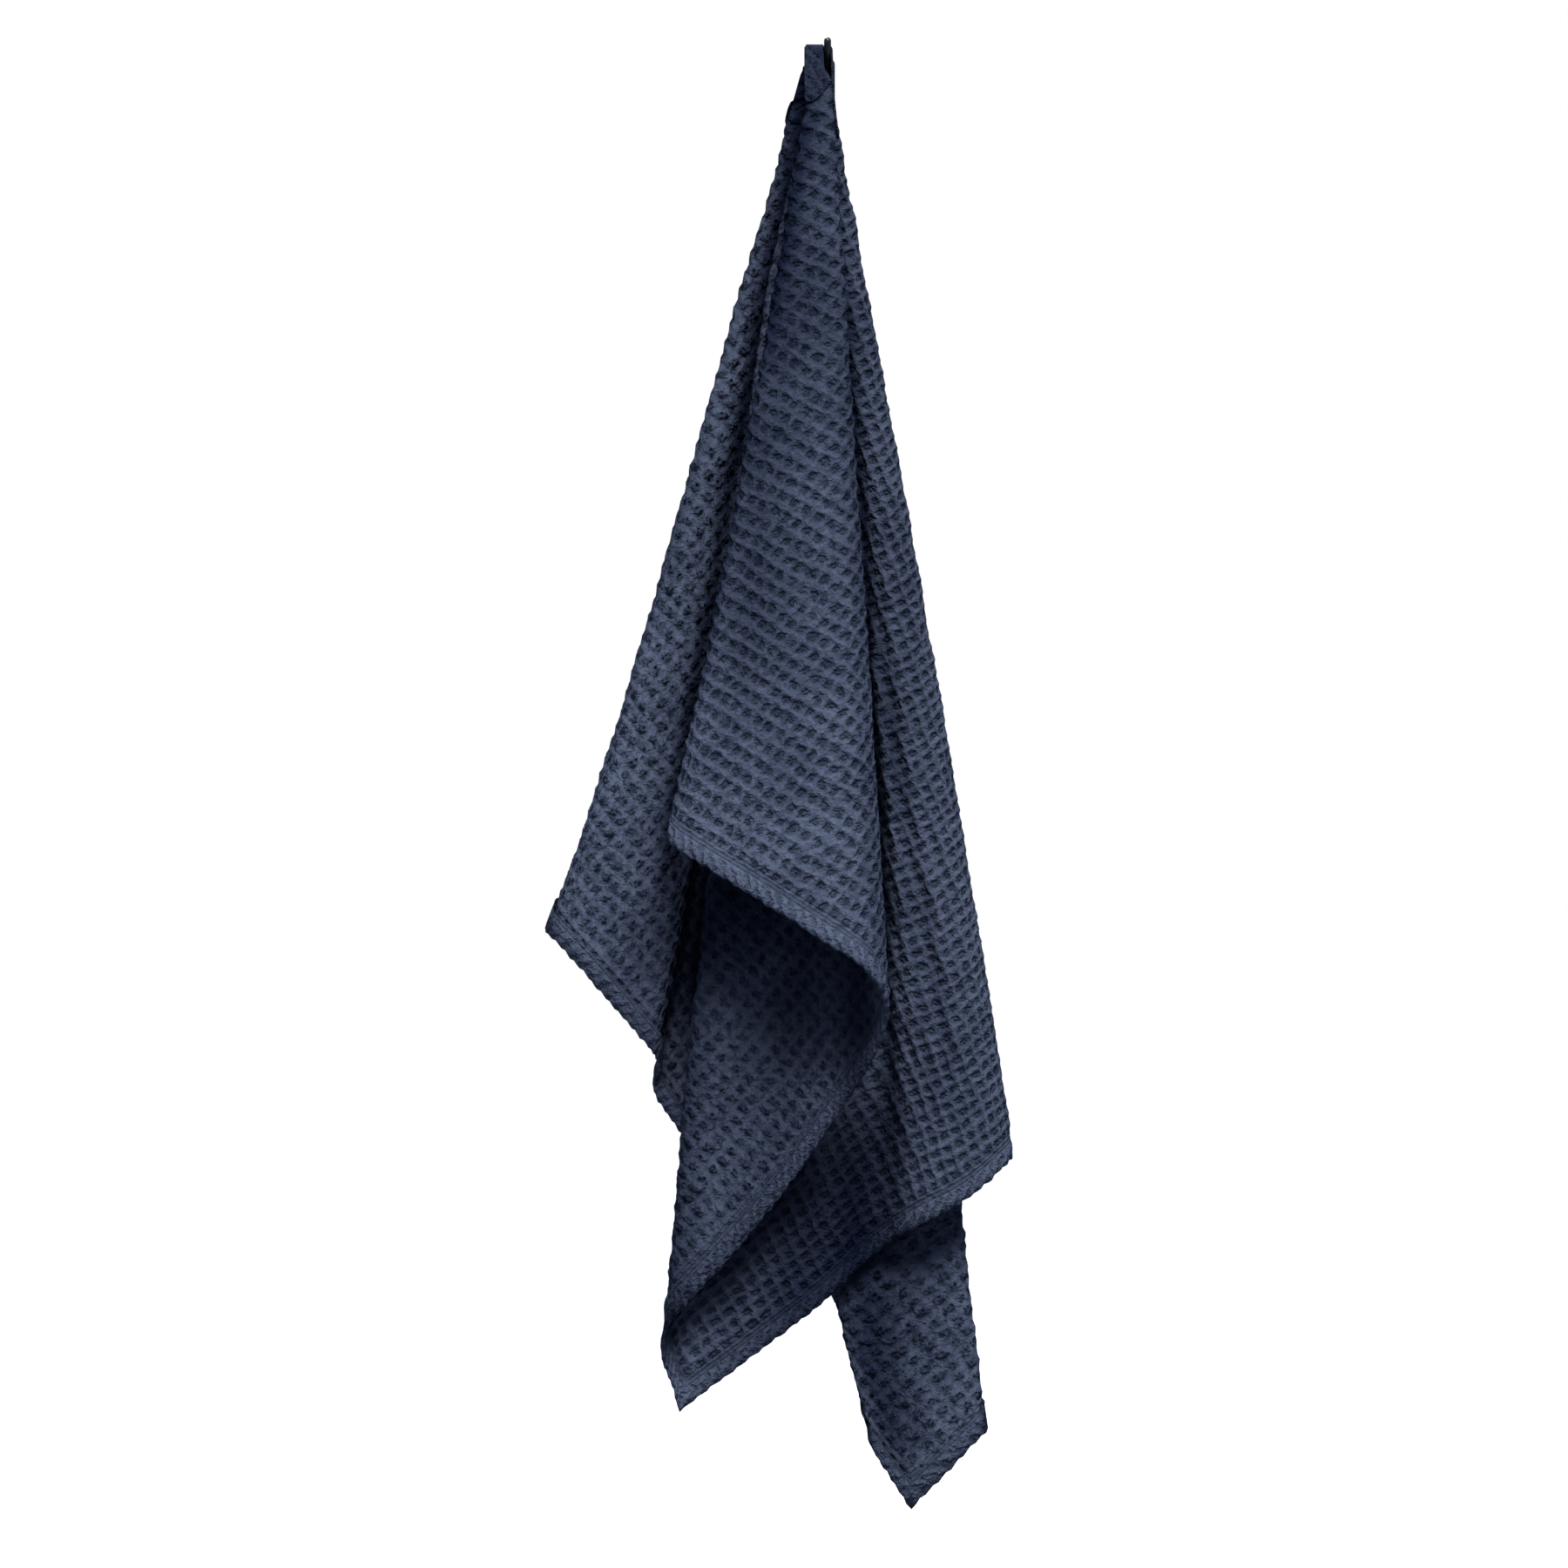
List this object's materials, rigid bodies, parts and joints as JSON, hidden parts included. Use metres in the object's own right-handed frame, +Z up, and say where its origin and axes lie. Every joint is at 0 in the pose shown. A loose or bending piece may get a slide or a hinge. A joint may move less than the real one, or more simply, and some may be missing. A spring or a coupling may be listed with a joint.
{
  "type": "bath towel on a wall hook",
  "caption": "Waffle-weave bath towel hung by a point of its long edge over a sloping peg wall hook, falling in pointed folds.",
  "frame": {"origin": "middle of the flat back of the hook's plate, at the wall", "axes": "+Z up, +X to the right of a viewer who faces the wall, -Y out from the wall towards the viewer"},
  "size_m": [0.3676, 0.1996, 1.1644],
  "materials": {
    "towel": "matt waffle-weave cotton, dark slate blue",
    "wall_hook": "black satin paint"
  },
  "bodies": {
    "root": {"towel": "towel", "wall_hook": "wall_hook"}
  },
  "joints": []
}
